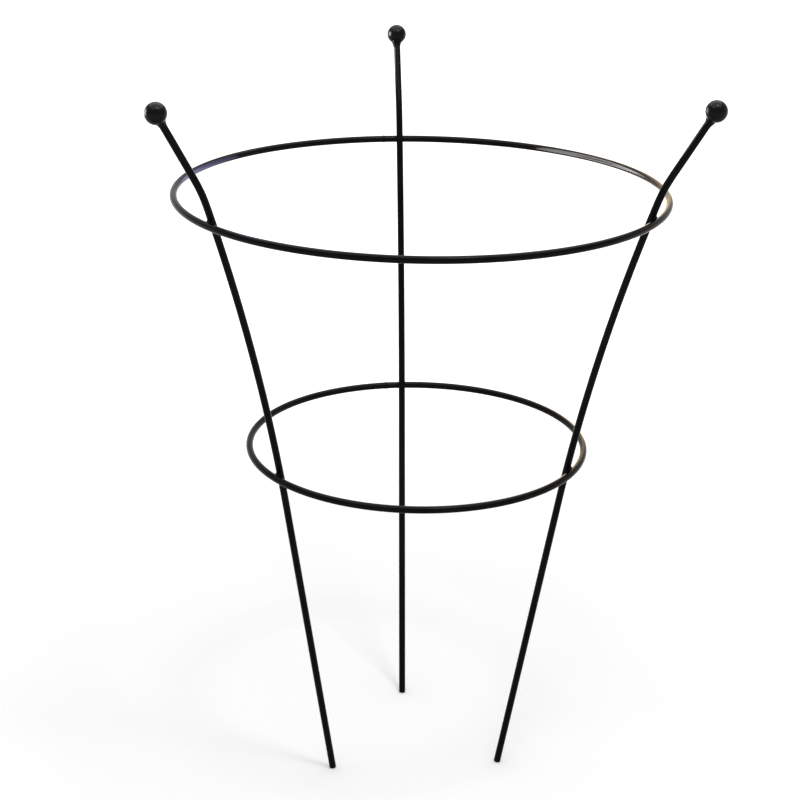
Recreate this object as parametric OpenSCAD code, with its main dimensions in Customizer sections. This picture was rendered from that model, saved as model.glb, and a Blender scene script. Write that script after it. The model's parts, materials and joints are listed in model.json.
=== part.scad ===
// Plant support: three bent rods with ball tips, welded to the inside of two wire rings.
// The origin is on the middle axis at ground level, +Z is up, and the back leg stands towards +Y.

/* [Legs] */
// Diameter of the coated leg rod
rod_d = 5.8; // [4:0.1:7]
// Diameter of the circle through the middles of the three feet
foot_circle_d = 167; // [140:1:190]
// Chamfer on the cut end of each foot
foot_chamfer = 0.6; // [0.2:0.1:1.2]
// Height below the lower ring at which the straight foot ends and the long sweep starts
sweep_lead = 30; // [20:1:60]
// How far the long sweep runs on past the upper ring
sweep_past = 8; // [6:0.5:15]
// Straight rod between the long sweep and the bend of the tip
tip_land = 4; // [3:0.5:12]
// Angle by which the tip is bent out from the leg below it
tip_bend_angle = 11; // [5:0.5:16]
// Radius of that bend, to the middle of the rod
tip_bend_r = 130; // [60:5:180]

/* [Rings] */
// Diameter of the coated ring wire
wire_d = 5.8; // [4:0.1:7]
// Outside diameter of the lower ring
lower_ring_d = 286; // [270:1:300]
// Height of the middle of the lower ring above the ground
lower_ring_h = 288; // [240:1:340]
// Outside diameter of the upper ring
upper_ring_d = 400; // [380:1:420]
// Height of the upper ring above the lower ring
ring_rise = 216; // [180:1:260]

/* [Balls] */
// Diameter of each ball
ball_d = 16.8; // [14:0.1:22]
// Height of the middle of each ball above the upper ring
ball_rise = 87.6; // [70:0.1:130]
// Depth of the blind hole in each ball, from its surface
socket_depth = 10.4; // [5:0.1:12]

/* [Welds] */
// Diameter of the weld between a leg and a ring
cross_weld_d = 10.4; // [9.5:0.1:12]
// Thickness of the weld between a leg and a ring
cross_weld_t = 4.2; // [3.6:0.1:5.4]
// Diameter of the weld under a ball, where it meets the ball
ball_weld_d = 10; // [9:0.1:12]
// Length of the weld under a ball, along the rod
ball_weld_l = 4; // [3:0.1:7]
// Width of the butt weld that closes each ring
joint_w = 1.8; // [1:0.1:4]
// Distance of that butt weld from the back leg, along the ring
joint_offset = 14; // [10:1:40]

/* [Hidden] */

// Angles of the three legs around the axis, named as they are seen from the front
back_angle = 90;
left_angle = 210;
right_angle = 330;

// Gap between a leg and a ring, which the weld fills
weld_gap = 0.2;
// Clearance between that weld, which is cut straight, and the leg that sweeps past it
weld_clearance = 0.01;
// How much thicker the rod is in a bend, so that its straight ends seat there
bend_swell = 0.03;
// How far a straight end runs into a bend
bend_seat = 1;
// Clearance around the rod in a ball's hole, and at its end
socket_clearance = 0.05;
socket_end_gap = 0.2;
// Step at the lower edge of the weld under a ball
ball_weld_toe = 0.25;
// How far the butt weld of a ring stands out from the wire
joint_swell = 0.25;
// Chamfer on the rod's end inside the ball
tip_chamfer = 0.5;

// Facets of a full turn: of a round section, of a ring or bend, and of the long flat sweep
round_facets = 72;
arc_facets = 256;
sweep_facets = 2880;
// Steps in the hollow side of the weld under a ball
profile_steps = 5;
// Angle between the points of the oval weld between a leg and a ring
oval_step_angle = 15;
// Angles between which the lean of the foot is sought, and how often that range is halved
low_lean_angle = -20;
high_lean_angle = 50;
lean_halvings = 40;

rod_r = rod_d / 2;
wire_r = wire_d / 2;
ball_r = ball_d / 2;
lower_ring_r = lower_ring_d / 2 - wire_r;
upper_ring_r = upper_ring_d / 2 - wire_r;
upper_ring_h = lower_ring_h + ring_rise;

// A leg lies in one upright plane. Its points are [distance from the axis, height], and a lean is the
// angle from the upright. Each ring's wire shows in that plane as a circle around one of these points.
foot = [foot_circle_d / 2, 0];
lower_wire = [lower_ring_r, lower_ring_h];
upper_wire = [upper_ring_r, upper_ring_h];
touch = rod_r + weld_gap + wire_r;

// Along the rod at a lean, and square to it towards the outside
function along(lean) = [sin(lean), cos(lean)];
function across(lean) = [cos(lean), -sin(lean)];
function lean_of(square) = atan2(-square.y, square.x);
// End of the straight foot at a lean
function sweep_from(lean) = foot + (lower_ring_h - sweep_lead) * [tan(lean), 1];
// Curvature of the arc that goes on from there and lies against a ring's wire
function curvature(lean, wire) =
    let (reach = wire - sweep_from(lean))
    2 * (reach * across(lean) - touch) / (reach * reach - touch * touch);
// The lean at which one arc lies against both rings, found by halving
function foot_lean(low, high, halvings) =
    let (middle = (low + high) / 2)
    halvings == 0 ? middle
    : curvature(middle, upper_wire) > curvature(middle, lower_wire) ? foot_lean(low, middle, halvings - 1)
    : foot_lean(middle, high, halvings - 1);
// Lean of the sweep where it lies against a ring's wire
function lean_at(wire) =
    let (inward = sweep_middle - wire)
    lean_of(sign(sweep_r) * inward / norm(inward));

leg_lean = foot_lean(low_lean_angle, high_lean_angle, lean_halvings);
// The foot is cut square to the rod, and the outer edge of its cut stands on the ground
foot_end = foot + (rod_r - foot_chamfer) * tan(leg_lean) * along(leg_lean);
sweep_start = sweep_from(leg_lean);
sweep_r = 1 / curvature(leg_lean, upper_wire);
sweep_middle = sweep_start + sweep_r * across(leg_lean);
sweep_lean = lean_at(upper_wire) + sweep_past / sweep_r * 180 / PI;
sweep_end = sweep_middle - sweep_r * across(sweep_lean);
bend_start = sweep_end + tip_land * along(sweep_lean);
tip_lean = sweep_lean + tip_bend_angle;
bend_end = bend_start + tip_bend_r * (across(sweep_lean) - across(tip_lean));
ball_h = upper_ring_h + ball_rise;
tip_l = (ball_h - bend_end.y) / cos(tip_lean);
ball_middle = bend_end + tip_l * along(tip_lean);
// How far the rod reaches past the ball's middle
tip_past = socket_depth - ball_r - socket_end_gap;

// Puts its children on a leg's path, with their Z along the rod and X towards the outside
module on_leg(side, point, lean) {
    rotate([0, 0, side]) translate([point.x, 0, point.y]) rotate([0, lean, 0]) children();
}

// A straight rod up from zero, with a chamfer at either end
module straight_rod(length, low_chamfer, high_chamfer) {
    rotate_extrude($fn = round_facets) polygon([
        [0, 0],
        [rod_r - low_chamfer, 0],
        [rod_r, low_chamfer],
        [rod_r, length - high_chamfer],
        [rod_r - high_chamfer, length],
        [0, length]
    ]);
}

// A rod up from zero that bends towards X, or away from it for a turn below zero
module bent_rod(radius, turn, facets) {
    if (turn < 0) mirror([1, 0, 0]) bent_rod(-radius, -turn, facets);
    else translate([radius, 0, 0]) rotate([90, 0, 0]) rotate([0, 0, 180 - turn])
        rotate_extrude(angle = turn, $fn = facets) translate([radius, 0])
            circle(r = rod_r + bend_swell, $fn = round_facets);
}

module leg(side) {
    color("#17171a") {
        on_leg(side, foot_end, leg_lean)
            straight_rod(norm(sweep_start - foot_end) + bend_seat, foot_chamfer, 0);
        on_leg(side, sweep_start, leg_lean) bent_rod(sweep_r, sweep_lean - leg_lean, sweep_facets);
        on_leg(side, sweep_end - bend_seat * along(sweep_lean), sweep_lean)
            straight_rod(tip_land + 2 * bend_seat, 0, 0);
        on_leg(side, bend_start, sweep_lean) bent_rod(tip_bend_r, tip_bend_angle, arc_facets);
        on_leg(side, bend_end - bend_seat * along(tip_lean), tip_lean)
            straight_rod(bend_seat + tip_l + tip_past, 0, tip_chamfer);
    }
}

// Ball with a blind hole for the end of the rod
module ball(side) {
    color("#131316") on_leg(side, ball_middle, tip_lean) difference() {
        sphere(r = ball_r, $fn = round_facets);
        translate([0, 0, -ball_d])
            cylinder(r = rod_r + socket_clearance, h = ball_d + socket_depth - ball_r, $fn = round_facets);
    }
}

// Weld that runs from the rod out to the ball in a hollow curve
module ball_weld(side) {
    low = -ball_r - ball_weld_l;
    seat = -sqrt(ball_r * ball_r - ball_weld_d * ball_weld_d / 4);
    toe_r = rod_r + ball_weld_toe;
    function outline(share) = [toe_r + (ball_weld_d / 2 - toe_r) * share * share, low + (seat - low) * share];
    color("#1b1b1e") on_leg(side, ball_middle, tip_lean) rotate_extrude($fn = round_facets) difference() {
        polygon([
            [rod_r, low],
            for (step = [0 : profile_steps]) outline(step / profile_steps),
            [rod_r, seat]
        ]);
        circle(r = ball_r, $fn = arc_facets);
    }
}

// Part of a ring, from one angle around the axis and over a sweep
module ring_wire(ring_r, height, section_r, from, sweep) {
    translate([0, 0, height]) rotate([0, 0, from])
        rotate_extrude(angle = sweep, $fn = arc_facets) translate([ring_r, 0])
            circle(r = section_r, $fn = round_facets);
}

// Angle that a length along a ring takes up
function ring_angle(ring_r, length) = length / ring_r * 180 / PI;

// Wire bent round until its ends almost meet
module ring(ring_r, height) {
    gap = ring_angle(ring_r, joint_w);
    from = back_angle + ring_angle(ring_r, joint_offset) + gap / 2;
    color("#151518") ring_wire(ring_r, height, wire_r, from, 360 - gap);
}

// Butt weld between the wire's two ends
module ring_joint(ring_r, height) {
    gap = ring_angle(ring_r, joint_w);
    from = back_angle + ring_angle(ring_r, joint_offset) - gap / 2;
    color("#1b1b1e") ring_wire(ring_r, height, wire_r + joint_swell, from, gap);
}

// Weld metal between a leg and a ring: an oval turned around the line through both rods, cut by both
module cross_weld(side, wire) {
    lean = lean_at(wire);
    color("#1b1b1e") difference() {
        on_leg(side, wire - touch * across(lean), lean) difference() {
            translate([rod_r + weld_gap / 2, 0, 0]) rotate([0, 90, 0]) rotate_extrude($fn = round_facets)
                polygon([for (angle = [-90 : oval_step_angle : 90])
                    [cross_weld_d / 2 * cos(angle), cross_weld_t / 2 * sin(angle)]]);
            cylinder(r = rod_r + bend_swell + weld_clearance, h = 2 * cross_weld_d, center = true,
                $fn = round_facets);
        }
        ring(wire.x, wire.y);
    }
}

leg(back_angle);  // leg_back
leg(left_angle);  // leg_left
leg(right_angle);  // leg_right
ball(back_angle);  // ball_back
ball(left_angle);  // ball_left
ball(right_angle);  // ball_right
ball_weld(back_angle);  // ball_weld_back
ball_weld(left_angle);  // ball_weld_left
ball_weld(right_angle);  // ball_weld_right
ring(lower_ring_r, lower_ring_h);  // lower_ring
ring_joint(lower_ring_r, lower_ring_h);  // lower_ring_joint
cross_weld(back_angle, lower_wire);  // lower_weld_back
cross_weld(left_angle, lower_wire);  // lower_weld_left
cross_weld(right_angle, lower_wire);  // lower_weld_right
ring(upper_ring_r, upper_ring_h);  // upper_ring
ring_joint(upper_ring_r, upper_ring_h);  // upper_ring_joint
cross_weld(back_angle, upper_wire);  // upper_weld_back
cross_weld(left_angle, upper_wire);  // upper_weld_left
cross_weld(right_angle, upper_wire);  // upper_weld_right
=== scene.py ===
import json
import math

import bmesh
import bpy
from mathutils import Matrix, Vector


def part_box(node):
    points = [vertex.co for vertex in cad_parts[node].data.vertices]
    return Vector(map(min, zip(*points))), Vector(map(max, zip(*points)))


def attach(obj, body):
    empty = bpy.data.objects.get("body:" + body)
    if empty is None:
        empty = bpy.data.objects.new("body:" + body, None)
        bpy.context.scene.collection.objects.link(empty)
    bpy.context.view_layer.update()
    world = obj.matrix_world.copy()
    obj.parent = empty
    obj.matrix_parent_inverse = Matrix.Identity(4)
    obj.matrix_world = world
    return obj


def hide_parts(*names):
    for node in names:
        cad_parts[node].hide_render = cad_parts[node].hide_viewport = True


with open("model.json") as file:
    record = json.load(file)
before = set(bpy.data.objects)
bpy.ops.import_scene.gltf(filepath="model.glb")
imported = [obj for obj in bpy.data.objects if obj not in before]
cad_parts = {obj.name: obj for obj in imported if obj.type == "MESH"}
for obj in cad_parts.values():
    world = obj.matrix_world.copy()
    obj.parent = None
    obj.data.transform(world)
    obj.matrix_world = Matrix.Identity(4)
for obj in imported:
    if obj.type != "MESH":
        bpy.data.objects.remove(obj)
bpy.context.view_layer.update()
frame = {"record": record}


# Legs: three 5 mm round steel rods under a 0.4 mm black coat, bent cold to one shape. They stand a third of a
# turn apart. Each has a straight foot that was cropped square, a long slow sweep that lies against the inside
# of both rings, and a short bend above the upper ring that turns the tip out towards its ball.
MM = 0.001
LEG_TURNS = {"back": 0.0, "left": 120.0, "right": 240.0}
mounts = {mount["name"]: mount for mount in frame["record"]["mounts"]}
foot = mounts["foot_back"]
rod_radius = foot["dims"]["r_mm"] * MM
foot_length = foot["dims"]["length_mm"] * MM
foot_edge = 0.6 * MM
weld_gap = 0.2 * MM
sweep_past_ring = 8.0 * MM
land_length = 4.0 * MM
bend_radius = 130.0 * MM
rod_past_ball_middle = 1.8 * MM
rod_sides = 36
path_step = 2.5 * MM
edge_steps = 6
coat_swelling = 0.04 * MM
coat_swelling_spacing = 14 * MM


def along(lean):
    """Unit step up a rod in a leg's upright plane, as distance from the axis and height."""
    return Vector((math.sin(lean), math.cos(lean)))


def across(lean):
    """Unit step square to that rod, towards the outside."""
    return Vector((math.cos(lean), -math.sin(lean)))


def in_leg_plane(point):
    """A point of the back leg, which stands in the plane of Y and Z."""
    return Vector((point[1], point[2]))


def wire_middle(ring):
    """Where a ring's wire crosses a leg's plane. Its mount sits on the wire at the very front."""
    front = mounts[ring + "_wire"]["pos_m"]
    return Vector((-front[1], front[2]))


def straight_run(start, lean, length):
    """Points up a straight stretch of rod, without its first."""
    steps = math.ceil(length / path_step)
    return [start + along(lean) * length * step / steps for step in range(1, steps + 1)]


def bent_run(middle, radius, lean, end_lean):
    """Points up a bent stretch of rod around the middle of its bend, without its first."""
    steps = math.ceil(radius * (end_lean - lean) / path_step)
    leans = [lean + (end_lean - lean) * step / steps for step in range(1, steps + 1)]
    return [middle - radius * across(each) for each in leans]


wire_radius = rod_radius
touch = rod_radius + weld_gap + wire_radius
foot_lean = math.atan2(-foot["axis"][1], -foot["axis"][2])
foot_wall = in_leg_plane(foot["pos_m"])
sweep_start = foot_wall + foot_length * along(foot_lean)
reach = wire_middle("upper_ring") - sweep_start
sweep_radius = (reach.length_squared - touch ** 2) / (2 * (reach.dot(across(foot_lean)) - touch))
sweep_middle = sweep_start + sweep_radius * across(foot_lean)


def lean_at(ring):
    """Lean of a leg where it lies against a ring."""
    inward = sweep_middle - wire_middle(ring)
    return math.atan2(-inward.y, inward.x)


sweep_lean = lean_at("upper_ring") + sweep_past_ring / sweep_radius
land_start = sweep_middle - sweep_radius * across(sweep_lean)
bend_start = land_start + land_length * along(sweep_lean)
bend_middle = bend_start + bend_radius * across(sweep_lean)
ball_low, ball_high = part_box("ball_back")
ball_middle = in_leg_plane((ball_low + ball_high) / 2)
reach = ball_middle - bend_middle
tip_length = math.sqrt(reach.length_squared - bend_radius ** 2)
tip_lean = math.atan2(reach.x, reach.y) + math.atan2(bend_radius, tip_length)
tip_start = bend_middle - bend_radius * across(tip_lean)

# The cropped end has a rolled edge, where the shear pressed the rod's rim over.
edge_angles = [math.pi / 2 * step / edge_steps for step in range(edge_steps + 1)]
foot_cut = foot_wall - foot_edge * along(foot_lean)
leg_points = [foot_cut + foot_edge * (1 - math.cos(angle)) * along(foot_lean) for angle in edge_angles]
leg_radii = [rod_radius - foot_edge * (1 - math.sin(angle)) for angle in edge_angles]
leg_points += straight_run(foot_wall, foot_lean, foot_length)
leg_points += bent_run(sweep_middle, sweep_radius, foot_lean, sweep_lean)
leg_points += straight_run(land_start, sweep_lean, land_length)
leg_points += bent_run(bend_middle, bend_radius, sweep_lean, tip_lean)
leg_points += straight_run(tip_start, tip_lean, tip_length + rod_past_ball_middle)
leg_radii += [rod_radius] * (len(leg_points) - len(leg_radii))


def add_node(tree, kind, inputs=None, **settings):
    """Adds a node with its settings. Each input is linked to a socket or set to a value."""
    node = tree.nodes.new(kind)
    for name, value in settings.items():
        setattr(node, name, value)
    for socket, value in (inputs or {}).items():
        if isinstance(value, bpy.types.NodeSocket):
            tree.links.new(value, node.inputs[socket])
        else:
            node.inputs[socket].default_value = value
    return node


# The tree sweeps a round section along a path, turns it around the axis and swells the coat a little here
# and there. The path's own thickness is the radius of the section at each point.
ROD_INPUTS = {
    "Path": "NodeSocketGeometry",
    "Sides": "NodeSocketInt",
    "Turn": "NodeSocketFloat",
    "Swelling": "NodeSocketFloat",
    "Swelling spacing": "NodeSocketFloat",
    "Coat": "NodeSocketMaterial",
}
SHARP_EDGE = math.radians(50)
rod_tree = bpy.data.node_groups.new("coated_rod_on_a_path", "GeometryNodeTree")
for name, kind in ROD_INPUTS.items():
    rod_tree.interface.new_socket(name, in_out="INPUT", socket_type=kind)
rod_tree.interface.new_socket("Rod", in_out="OUTPUT", socket_type="NodeSocketGeometry")
given = add_node(rod_tree, "NodeGroupInput").outputs
line = add_node(rod_tree, "GeometryNodeMeshToCurve", {"Mesh": given["Path"]})
thickness = add_node(rod_tree, "GeometryNodeInputNamedAttribute", {"Name": "thickness"}, data_type="FLOAT")
section = add_node(rod_tree, "GeometryNodeCurvePrimitiveCircle", {
    "Resolution": given["Sides"],
    "Radius": 1.0,
})
swept = add_node(rod_tree, "GeometryNodeCurveToMesh", {
    "Curve": line.outputs["Curve"],
    "Profile Curve": section.outputs["Curve"],
    "Scale": thickness.outputs["Attribute"],
    "Fill Caps": True,
})
turn = add_node(rod_tree, "FunctionNodeAxisAngleToRotation", {"Axis": (0, 0, 1), "Angle": given["Turn"]})
turned = add_node(rod_tree, "GeometryNodeTransform", {
    "Geometry": swept.outputs["Mesh"],
    "Rotation": turn.outputs["Rotation"],
})
here = add_node(rod_tree, "GeometryNodeInputPosition")
pitch = add_node(rod_tree, "ShaderNodeMath", {0: 1.0, 1: given["Swelling spacing"]}, operation="DIVIDE")
lumps = add_node(rod_tree, "ShaderNodeTexNoise", {
    "Vector": here.outputs["Position"],
    "Scale": pitch.outputs["Value"],
    "Detail": 1.0,
})
centred = add_node(rod_tree, "ShaderNodeMath", {0: lumps.outputs["Fac"], 1: 0.5}, operation="SUBTRACT")
height = add_node(rod_tree, "ShaderNodeMath", {0: centred.outputs["Value"], 1: given["Swelling"]},
                  operation="MULTIPLY")
outward = add_node(rod_tree, "GeometryNodeInputNormal")
lift = add_node(rod_tree, "ShaderNodeVectorMath", {
    "Vector": outward.outputs["Normal"],
    "Scale": height.outputs["Value"],
}, operation="SCALE")
swollen = add_node(rod_tree, "GeometryNodeSetPosition", {
    "Geometry": turned.outputs["Geometry"],
    "Offset": lift.outputs["Vector"],
})
smooth = add_node(rod_tree, "GeometryNodeSetShadeSmooth", {"Geometry": swollen.outputs["Geometry"]})
fold = add_node(rod_tree, "GeometryNodeInputMeshEdgeAngle")
sharp = add_node(rod_tree, "FunctionNodeCompare", {"A": fold.outputs["Unsigned Angle"], "B": SHARP_EDGE},
                 operation="GREATER_THAN")
creased = add_node(rod_tree, "GeometryNodeSetShadeSmooth", {
    "Geometry": smooth.outputs["Geometry"],
    "Selection": sharp.outputs["Result"],
    "Shade Smooth": False,
}, domain="EDGE")
real = add_node(rod_tree, "GeometryNodeRealizeInstances", {"Geometry": creased.outputs["Geometry"]})
coated = add_node(rod_tree, "GeometryNodeSetMaterial", {
    "Geometry": real.outputs["Geometry"],
    "Material": given["Coat"],
})
add_node(rod_tree, "NodeGroupOutput", {"Rod": coated.outputs["Geometry"]})


def swept_piece(name, points, radii, inputs):
    """A rod along points in space, made by the tree and turned into a plain mesh."""
    path = bpy.data.meshes.new(name)
    path.from_pydata(points, [(i, i + 1) for i in range(len(points) - 1)], [])
    path.attributes.new("thickness", "FLOAT", "POINT").data.foreach_set("value", radii)
    piece = bpy.data.objects.new(name, path)
    bpy.context.scene.collection.objects.link(piece)
    sweep = piece.modifiers.new("sweep", "NODES")
    sweep.node_group = rod_tree
    for socket in rod_tree.interface.items_tree:
        if socket.name in inputs:
            sweep[socket.identifier] = inputs[socket.name]
    shaped = piece.evaluated_get(bpy.context.evaluated_depsgraph_get())
    mesh = bpy.data.meshes.new_from_object(shaped)
    piece.modifiers.remove(sweep)
    piece.data = mesh
    bpy.data.meshes.remove(path)
    return piece


def stands_for(piece, node):
    """The piece moves with the frame and hides the plain solid of its node."""
    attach(piece, "root")
    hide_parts(node)


def linear(colour):
    """An sRGB hex colour as linear red, green, blue and alpha."""
    shares = [int(colour[start:start + 2], 16) / 255 for start in (1, 3, 5)]
    return [s / 12.92 if s <= 0.04045 else ((s + 0.055) / 1.055) ** 2.4 for s in shares] + [1.0]


# The peel of a real coat is under 1 mm wide. It is drawn about twice as coarse, so that it shows. The coat's
# mirror share is set low, because all around it is white here and the photographed coat is a deep black.
ROD_SPECULAR = 0.045
FLOW_WIDTH = 18 * MM
FLOW_THICK, FLOW_THIN = 0.35, 0.7
NIB_SIZE_SHARE = 0.18


def black_coat(name, thick, thin, specular, roughness, peel_width, peel_height, nib_spacing, nib_height):
    """Gloss black polyethylene, fused onto the hot steel from powder: deep black, with a soft orange peel in
    its gloss, a little greyer and duller where it flowed thin, and a few dust nibs under the skin."""
    coat = bpy.data.materials.new(name)
    coat.use_nodes = True
    tree = coat.node_tree
    shader = tree.nodes["Principled BSDF"]
    place = add_node(tree, "ShaderNodeTexCoord").outputs["Object"]
    flow = add_node(tree, "ShaderNodeTexNoise", {"Vector": place, "Scale": 1 / FLOW_WIDTH, "Detail": 3.0})
    tone = add_node(tree, "ShaderNodeValToRGB", {"Fac": flow.outputs["Fac"]})
    for stop, position, colour in zip(tone.color_ramp.elements, (FLOW_THICK, FLOW_THIN), (thick, thin)):
        stop.position = position
        stop.color = linear(colour)
    sheen = add_node(tree, "ShaderNodeMapRange", {
        "Value": flow.outputs["Fac"],
        "From Min": FLOW_THICK,
        "From Max": FLOW_THIN,
        "To Min": roughness[0],
        "To Max": roughness[1],
    })
    peel = add_node(tree, "ShaderNodeTexNoise", {"Vector": place, "Scale": 1 / peel_width, "Detail": 1.5})
    waves = add_node(tree, "ShaderNodeBump", {"Height": peel.outputs["Fac"], "Distance": peel_height})
    nibs = add_node(tree, "ShaderNodeTexVoronoi", {"Vector": place, "Scale": 1 / nib_spacing})
    domes = add_node(tree, "ShaderNodeMapRange", {
        "Value": nibs.outputs["Distance"],
        "From Min": 0.0,
        "From Max": NIB_SIZE_SHARE,
        "To Min": 1.0,
        "To Max": 0.0,
    }, interpolation_type="SMOOTHSTEP")
    relief = add_node(tree, "ShaderNodeBump", {
        "Height": domes.outputs["Result"],
        "Distance": nib_height,
        "Normal": waves.outputs["Normal"],
    })
    shader.inputs["Specular IOR Level"].default_value = specular
    tree.links.new(tone.outputs["Color"], shader.inputs["Base Color"])
    tree.links.new(sheen.outputs["Result"], shader.inputs["Roughness"])
    tree.links.new(relief.outputs["Normal"], shader.inputs["Normal"])
    return coat


# On drawn rod the coat lies even: a clear gloss, whose long streaks of light waver a little.
rod_coat = black_coat(
    "gloss_black_fused_plastic_on_drawn_rod", thick="#030304", thin="#09090a", specular=ROD_SPECULAR,
    roughness=(0.16, 0.26), peel_width=1.8 * MM, peel_height=0.02 * MM, nib_spacing=5.0 * MM,
    nib_height=0.03 * MM,
)
for side, leg_turn in LEG_TURNS.items():
    leg = swept_piece(f"leg_{side}_rod", [(0, point.x, point.y) for point in leg_points], leg_radii, {
        "Sides": rod_sides,
        "Turn": math.radians(leg_turn),
        "Swelling": coat_swelling,
        "Swelling spacing": coat_swelling_spacing,
        "Coat": rod_coat,
    })
    stands_for(leg, f"leg_{side}")


# Rings: two lengths of the same 5 mm wire, rolled into level hoops that go round the outside of the legs.
# Each hoop's two ends stop a little short of each other, beside the back leg, for a butt weld to close it.
joint_width = 1.8 * MM

# On the rolled wire the coat is a touch glossier, with streaks of light that follow the hoop.
ring_coat = black_coat(
    "gloss_black_fused_plastic_on_rolled_wire", thick="#030304", thin="#0a0a0b", specular=ROD_SPECULAR,
    roughness=(0.14, 0.24), peel_width=1.8 * MM, peel_height=0.02 * MM, nib_spacing=5.0 * MM,
    nib_height=0.03 * MM,
)


def on_ring(ring, angle):
    """A point on the middle line of a ring's wire."""
    middle = wire_middle(ring)
    return Vector((middle.x * math.cos(angle), middle.x * math.sin(angle), middle.y))


def joint_angle(ring):
    """Where around the axis a ring's butt weld lies."""
    low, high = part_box(ring + "_joint")
    return math.atan2(low.y + high.y, low.x + high.x)


RINGS = ("lower_ring", "upper_ring")
for ring in RINGS:
    gap_angle = joint_width / wire_middle(ring).x
    first = joint_angle(ring) + gap_angle / 2
    span = 2 * math.pi - gap_angle
    steps = math.ceil(span * wire_middle(ring).x / path_step)
    wire_points = [on_ring(ring, first + span * step / steps) for step in range(steps + 1)]
    hoop = swept_piece(f"{ring}_wire", wire_points, [wire_radius] * len(wire_points), {
        "Sides": rod_sides,
        "Swelling": coat_swelling,
        "Swelling spacing": coat_swelling_spacing,
        "Coat": ring_coat,
    })
    stands_for(hoop, ring)


# Butt welds: one bead on each ring, where the wire's ends were pressed together hot. The upset metal was left
# a little proud, so under the coat it shows as a low collar with a rough crown.
collar_length = 3.0 * MM
collar_height = 0.25 * MM
collar_crown_power = 0.8
collar_sink_share = 0.15
collar_steps = 24
collar_sides = 48
collar_swelling = 0.16 * MM
collar_swelling_spacing = 1.6 * MM

# Over the rough crown of upset metal the coat is duller and pebbled.
collar_coat = black_coat(
    "black_fused_plastic_over_upset_weld", thick="#040405", thin="#0c0c0d", specular=ROD_SPECULAR,
    roughness=(0.22, 0.36), peel_width=1.2 * MM, peel_height=0.05 * MM, nib_spacing=2.5 * MM,
    nib_height=0.05 * MM,
)
for ring in RINGS:
    span = collar_length / wire_middle(ring).x
    shares = [step / collar_steps for step in range(collar_steps + 1)]
    crowns = [math.sin(math.pi * share) ** collar_crown_power - collar_sink_share for share in shares]
    collar_points = [on_ring(ring, joint_angle(ring) + span * (share - 0.5)) for share in shares]
    collar_radii = [wire_radius + collar_height * crown for crown in crowns]
    collar = swept_piece(f"{ring}_joint_collar", collar_points, collar_radii, {
        "Sides": collar_sides,
        "Swelling": collar_swelling,
        "Swelling spacing": collar_swelling_spacing,
        "Coat": collar_coat,
    })
    stands_for(collar, f"{ring}_joint")


# Cross welds: six spots where a leg and a ring were clamped and fused. The squeezed-out metal and the coat
# fill the corners between the two rods with a small hollow fillet all the way round.
fillet_reach = 4.9 * MM
fillet_wrap_share = 0.9
fillet_hollow_share = 0.58
fillet_sink = 0.12 * MM
fillet_facets = 72
fillet_steps = 12
fillet_uneven_share = 0.05
hollow_uneven_share = 0.1
fillet_seed_step = 1.7

# Over a spot weld the coat bridges small spatter: duller, greyer and bumpier than on the rods.
weld_coat = black_coat(
    "black_fused_plastic_over_spot_weld", thick="#040405", thin="#0d0d0e", specular=ROD_SPECULAR,
    roughness=(0.2, 0.34), peel_width=1.4 * MM, peel_height=0.05 * MM, nib_spacing=2.0 * MM,
    nib_height=0.06 * MM,
)

# Waves that make a fillet uneven: how many go round it, their height, and how far a weld's seed shifts them.
FILLET_WAVES = ((2, 1.0, 1.0), (5, 0.7, 2.3), (11, 0.4, 0.0))


def skinned_piece(name, loops, coat, is_tube=False):
    """A closed mesh over loops of points. A loop of one point is a pole, and a tube's two ends meet."""
    mesh = bmesh.new()
    rows = [[mesh.verts.new(point) for point in loop] for loop in loops]
    for low, high in zip(rows, rows[1:] + rows[:1] if is_tube else rows[1:]):
        count = max(len(low), len(high))
        for i in range(count):
            j = (i + 1) % count
            corners = [low[i % len(low)], low[j % len(low)], high[j % len(high)], high[i % len(high)]]
            mesh.faces.new(list(dict.fromkeys(corners)))
    bmesh.ops.recalc_face_normals(mesh, faces=mesh.faces)
    for face in mesh.faces:
        face.smooth = True
    data = bpy.data.meshes.new(name)
    mesh.to_mesh(data)
    mesh.free()
    data.materials.append(coat)
    piece = bpy.data.objects.new(name, data)
    bpy.context.scene.collection.objects.link(piece)
    return piece


def placed_on_leg(side, point, lean):
    """A function that puts local points on a leg, with X outwards, square to the rod, and Z up the rod."""
    out = across(lean)
    up = along(lean)
    square = Vector((0, out.x, out.y))
    upward = Vector((0, up.x, up.y))
    axes = Matrix((square, upward.cross(square), upward)).transposed()
    turn = Matrix.Rotation(math.radians(LEG_TURNS[side]), 3, "Z")
    origin = Vector((0, point.x, point.y))
    return lambda local: turn @ (origin + axes @ Vector(local))


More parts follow.
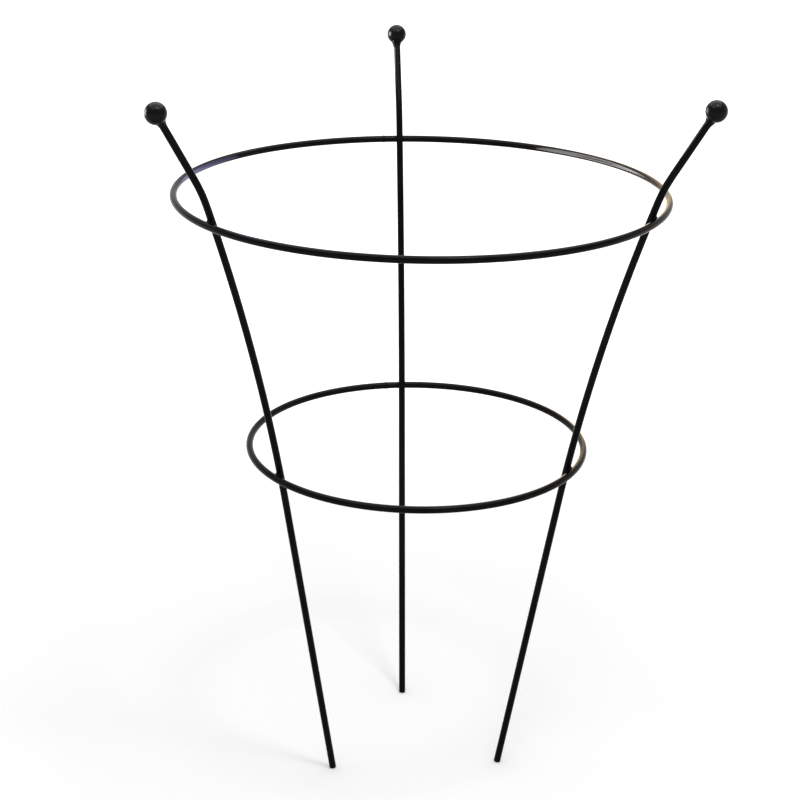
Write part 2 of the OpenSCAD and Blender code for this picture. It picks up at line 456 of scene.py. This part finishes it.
def fillet_loops(seed):
    """Loops of the fillet from inside the leg to inside the ring, around the line through both rods."""
    rows = [[] for step in range(fillet_steps + 1)]
    for facet in range(fillet_facets):
        angle = 2 * math.pi * facet / fillet_facets
        wobble = sum(height * math.sin(count * angle + shift * seed) for count, height, shift in FILLET_WAVES)
        swell = 1 + fillet_uneven_share * wobble
        side, rise = math.cos(angle), math.sin(angle)
        leg_side = fillet_wrap_share * rod_radius * side
        ring_rise = fillet_wrap_share * wire_radius * rise
        leg_toe = Vector((math.sqrt(rod_radius ** 2 - leg_side ** 2), leg_side, fillet_reach * swell * rise))
        ring_toe = Vector((touch - math.sqrt(wire_radius ** 2 - ring_rise ** 2), fillet_reach * swell * side,
                           ring_rise))
        waist = fillet_hollow_share * rod_radius * (1 + hollow_uneven_share * wobble)
        hollow = Vector((touch / 2, waist * side, waist * rise))
        leg_toe.x -= fillet_sink
        ring_toe.x += fillet_sink
        for step, row in enumerate(rows):
            share = step / fillet_steps
            row.append((1 - share) ** 2 * leg_toe + 2 * share * (1 - share) * hollow + share ** 2 * ring_toe)
    return [[Vector((0, 0, 0))]] + rows + [[Vector((touch, 0, 0))]]


for row, ring in enumerate(RINGS):
    lean = lean_at(ring)
    crossing = wire_middle(ring) - touch * across(lean)
    for column, side in enumerate(LEG_TURNS):
        place = placed_on_leg(side, crossing, lean)
        seed = fillet_seed_step * (row * len(LEG_TURNS) + column)
        loops = [[place(point) for point in loop] for loop in fillet_loops(seed)]
        node = f"{ring.removesuffix('_ring')}_weld_{side}"
        stands_for(skinned_piece(f"{node}_fillet", loops, weld_coat), node)


# Balls: three 16 mm steel balls under the coat, one on each tip, so that nobody is hurt by a rod end. Each is
# drilled part of the way through and sits on the end of its rod.
ball_radius = (ball_high.x - ball_low.x) / 2
hole_clearance = 0.05 * MM
hole_end_gap = 0.2 * MM
hole_radius = rod_radius + hole_clearance
hole_top = rod_past_ball_middle + hole_end_gap
ball_facets = 96
ball_steps = 56

# On the smooth ball the coat flowed out best: the deepest black, with the clearest highlights.
ball_coat = black_coat(
    "gloss_black_fused_plastic_on_ball", thick="#030303", thin="#080908", specular=0.08,
    roughness=(0.14, 0.24), peel_width=2.2 * MM, peel_height=0.025 * MM, nib_spacing=6.0 * MM,
    nib_height=0.04 * MM,
)


def turned_loop(radius, height, facets):
    """A round loop of points around the rod, or its pole."""
    if radius == 0:
        return [Vector((0, 0, height))]
    angles = [2 * math.pi * facet / facets for facet in range(facets)]
    return [Vector((radius * math.cos(angle), radius * math.sin(angle), height)) for angle in angles]


mouth_angle = math.asin(hole_radius / ball_radius)
ball_outline = [(0, hole_top), (hole_radius, hole_top)]
for step in range(ball_steps):
    angle = mouth_angle + (math.pi - mouth_angle) * step / ball_steps
    ball_outline.append((ball_radius * math.sin(angle), -ball_radius * math.cos(angle)))
ball_outline.append((0, ball_radius))
for side in LEG_TURNS:
    place = placed_on_leg(side, ball_middle, tip_lean)
    loops = [[place(point) for point in turned_loop(*each, ball_facets)] for each in ball_outline]
    stands_for(skinned_piece(f"ball_{side}_knob", loops, ball_coat), f"ball_{side}")


# Ball welds: a bead of weld metal run round the rod under each ball. It flares in a hollow curve from the rod
# out to the ball, keeps the low ripples of the run, and is fatter on the side where that was started.
neck_drop = 4.2 * MM
neck_radius = 5.1 * MM
neck_sink = 0.5 * MM
neck_toe_sink = 0.03 * MM
neck_wall_sink = 0.2 * MM
neck_low = -ball_radius - neck_drop
neck_seat = -math.sqrt(ball_radius ** 2 - neck_radius ** 2) + neck_sink
neck_flare_power = 2.1
neck_steps = 28
neck_facets = 72
neck_ripples = 7
neck_ripple = 0.035 * MM
neck_ripple_skew = 0.8

# Over a bead the coat follows the ripples, which breaks its gloss up and dulls it.
neck_coat = black_coat(
    "black_fused_plastic_over_weld_bead", thick="#040405", thin="#0c0c0d", specular=ROD_SPECULAR,
    roughness=(0.18, 0.3), peel_width=1.4 * MM, peel_height=0.05 * MM, nib_spacing=2.4 * MM,
    nib_height=0.05 * MM,
)

# The fat side of each neck: its angle round the rod, from the outside of the leg, and how far it stands out.
# It swells along the neck and is gone again a little below the ball.
FAT_SIDES = {"back": (90.0, 0.7 * MM), "left": (200.0, 0.2 * MM), "right": (0.0, 0.35 * MM)}
fat_power = 0.7
fat_pace = 1.15


def neck_loops(fat_angle, fat):
    """Loops up the outside of the neck, then down along the rod to close it."""
    rows = []
    for step in range(neck_steps + 1):
        share = step / neck_steps
        height = neck_low + (neck_seat - neck_low) * share
        toe = rod_radius - neck_toe_sink * (1 - share)
        flare = toe + (neck_radius - rod_radius) * share ** neck_flare_power
        row = []
        for point in turned_loop(1.0, 0.0, neck_facets):
            angle = math.atan2(point.y, point.x)
            lobe = max(0.0, math.cos(angle - math.radians(fat_angle))) ** 2
            lump = fat * lobe * math.sin(math.pi * min(1.0, share * fat_pace)) ** fat_power
            skew = neck_ripple_skew * math.sin(2 * angle)
            ripple = neck_ripple * math.sin(2 * math.pi * neck_ripples * share + skew)
            radius = flare + lump + ripple * math.sin(math.pi * share)
            row.append(Vector((point.x * radius, point.y * radius, height)))
        rows.append(row)
    inner = rod_radius - neck_wall_sink
    return rows + [turned_loop(inner, neck_seat, neck_facets), turned_loop(inner, neck_low, neck_facets)]


for side, fat_side in FAT_SIDES.items():
    place = placed_on_leg(side, ball_middle, tip_lean)
    loops = [[place(point) for point in loop] for loop in neck_loops(*fat_side)]
    neck = skinned_piece(f"ball_weld_{side}_neck", loops, neck_coat, is_tube=True)
    stands_for(neck, f"ball_weld_{side}")


# Floor: a plain white sweep of seamless paper. It is lit evenly near the object, where it keeps the shadow,
# and glows white further away, for the camera and for reflections alone.
floor_size = 60.0
glow_starts, glow_full = 0.25, 1.3
glow_near, glow_far = 0.12, 0.75
paper = bpy.data.materials.new("white_seamless_paper")
paper.use_nodes = True
paper_tree = paper.node_tree
paper_shader = paper_tree.nodes["Principled BSDF"]
paper_shader.inputs["Base Color"].default_value = linear("#f4f4f4")
paper_shader.inputs["Roughness"].default_value = 0.9
paper_shader.inputs["Specular IOR Level"].default_value = 0.0
paper_shader.inputs["Emission Color"].default_value = linear("#ffffff")
spot = add_node(paper_tree, "ShaderNodeTexCoord").outputs["Object"]
distance = add_node(paper_tree, "ShaderNodeVectorMath", {"Vector": spot}, operation="LENGTH")
glow = add_node(paper_tree, "ShaderNodeMapRange", {
    "Value": distance.outputs["Value"],
    "From Min": glow_starts,
    "From Max": glow_full,
    "To Min": glow_near,
    "To Max": glow_far,
}, interpolation_type="SMOOTHSTEP")


def seen_directly(tree):
    """Light Path's answer for rays of the camera, of gloss and of glass together."""
    rays = add_node(tree, "ShaderNodeLightPath").outputs
    either = add_node(tree, "ShaderNodeMath", {0: rays["Is Camera Ray"], 1: rays["Is Glossy Ray"]},
                      operation="MAXIMUM")
    return add_node(tree, "ShaderNodeMath", {0: either.outputs["Value"], 1: rays["Is Transmission Ray"]},
                    operation="MAXIMUM").outputs["Value"]


glow_seen = add_node(paper_tree, "ShaderNodeMath", {0: glow.outputs["Result"], 1: seen_directly(paper_tree)},
                     operation="MULTIPLY")
paper_tree.links.new(glow_seen.outputs["Value"], paper_shader.inputs["Emission Strength"])
floor_mesh = bpy.data.meshes.new("floor")
half = floor_size / 2
floor_mesh.from_pydata([(-half, -half, 0), (half, -half, 0), (half, half, 0), (-half, half, 0)], [],
                       [(0, 1, 2, 3)])
floor_mesh.materials.append(paper)
floor = bpy.data.objects.new("floor", floor_mesh)
bpy.context.scene.collection.objects.link(floor)


# Camera: stands before the object, a little to its left, and looks down on it, as in the photograph. It is
# rolled a little, because the photographed support leans.
FRAME_PIXELS = 800
focal_pixels = 1783.25
camera_distance, camera_height = 1395.2 * MM, 849.08 * MM
camera_side = math.radians(6.10)
camera_heading = math.radians(5.51)
camera_pitch = math.radians(20.57)
camera_roll = math.radians(0.9)
view = Vector((math.sin(camera_heading) * math.cos(camera_pitch),
               math.cos(camera_heading) * math.cos(camera_pitch), -math.sin(camera_pitch)))
level_right = Vector((math.cos(camera_heading), -math.sin(camera_heading), 0))
level_up = level_right.cross(view)
right = math.cos(camera_roll) * level_right + math.sin(camera_roll) * level_up
up = math.cos(camera_roll) * level_up - math.sin(camera_roll) * level_right
lens = bpy.data.cameras.new("camera")
lens.sensor_width = 36.0
lens.lens = focal_pixels / FRAME_PIXELS * lens.sensor_width
camera = bpy.data.objects.new("camera", lens)
camera.matrix_world = Matrix((right, up, -view)).transposed().to_4x4()
camera.location = (-camera_distance * math.sin(camera_side), -camera_distance * math.cos(camera_side),
                   camera_height)
bpy.context.scene.collection.objects.link(camera)
bpy.context.scene.camera = camera
bpy.context.scene.view_settings.view_transform = "Standard"


# Light: a white room with one soft lamp overhead. The cards show only in the object's gloss: a broad dim one
# above, a warm one behind the rings' right ends, two close to the upper ring and one beside each ball.
world = bpy.data.worlds.new("white_room")
bpy.context.scene.world = world
world.use_nodes = True
world_tree = world.node_tree
room_light, room_white = 0.78, 1.0
room = add_node(world_tree, "ShaderNodeMapRange", {
    "Value": seen_directly(world_tree),
    "To Min": room_light,
    "To Max": room_white,
})
sky = world_tree.nodes["Background"]
sky.inputs["Color"].default_value = linear("#ffffff")
world_tree.links.new(room.outputs["Result"], sky.inputs["Strength"])


def soft_box(name, place, target, size, brightness, colour="#ffffff", is_card=False, fan=None):
    """A rectangular lamp that faces a target. Its face is so many times brighter than white paper, and a grid
    may narrow the fan of its light."""
    lamp = bpy.data.lights.new(name, "AREA")
    lamp.shape = "RECTANGLE"
    lamp.size, lamp.size_y = size
    lamp.energy = brightness * math.pi * lamp.size * lamp.size_y
    lamp.color = linear(colour)[:3]
    if fan:
        lamp.spread = fan
        lamp.energy *= 1 - fan / 2 / math.tan(fan / 2)
    box = bpy.data.objects.new(name, lamp)
    box.location = place
    box.rotation_euler = (Vector(target) - Vector(place)).to_track_quat("-Z", "Y").to_euler()
    box.visible_camera = False
    box.visible_diffuse = not is_card
    bpy.context.scene.collection.objects.link(box)


object_middle = (0, 0, 0.4)
soft_box("overhead_lamp", place=(0.3, -0.65, 2.2), target=object_middle, size=(0.36, 0.36), brightness=28.0)
soft_box("sky_card", place=(0, 0.1, 1.6), target=object_middle, size=(2.0, 2.0), brightness=3.5, is_card=True)
soft_box("warm_card", place=(0.28, 0.45, 0.42), target=(0.98, -0.264, 0.42), size=(0.5, 0.5), brightness=2.5,
         colour="#ffd7a0", is_card=True)

# The upper ring's wire mirrors a pale and a cool card to the camera. Each has an angle around the axis, where
# the wire does so, a brightness and a colour.
RING_CARDS = {"pale_card": (45.0, 52.0, "#ffffff"), "cool_card": (150.0, 9.0, "#b9bcff")}
ring_card_gap = 45 * MM
ring_card_size = (20 * MM, 140 * MM)
for name, (angle, brightness, colour) in RING_CARDS.items():
    angle = math.radians(angle)
    wire = on_ring("upper_ring", angle)
    run = Vector((-math.sin(angle), math.cos(angle), 0))
    to_camera = (camera.location - wire).normalized()
    mirrored = to_camera - 2 * to_camera.dot(run) * run
    soft_box(name, wire + ring_card_gap * mirrored, wire, ring_card_size, brightness, colour, is_card=True)

# Each ball's card has a direction from the ball and a brightness. A grid keeps its light off the rings.
BALL_CARDS = {
    "back": ((-0.98, 0.12, 0.06), 60.0),
    "left": ((-0.88, 0.47, 0), 20.0),
    "right": ((-0.88, 0.47, 0), 16.0),
}
ball_card_gap = 80 * MM
ball_card_size = (50 * MM, 45 * MM)
grid_fan = math.radians(60)
for side, (direction, brightness) in BALL_CARDS.items():
    ball = placed_on_leg(side, ball_middle, tip_lean)((0, 0, 0))
    soft_box(f"ball_card_{side}", ball + ball_card_gap * Vector(direction), ball, ball_card_size, brightness,
             is_card=True, fan=grid_fan)
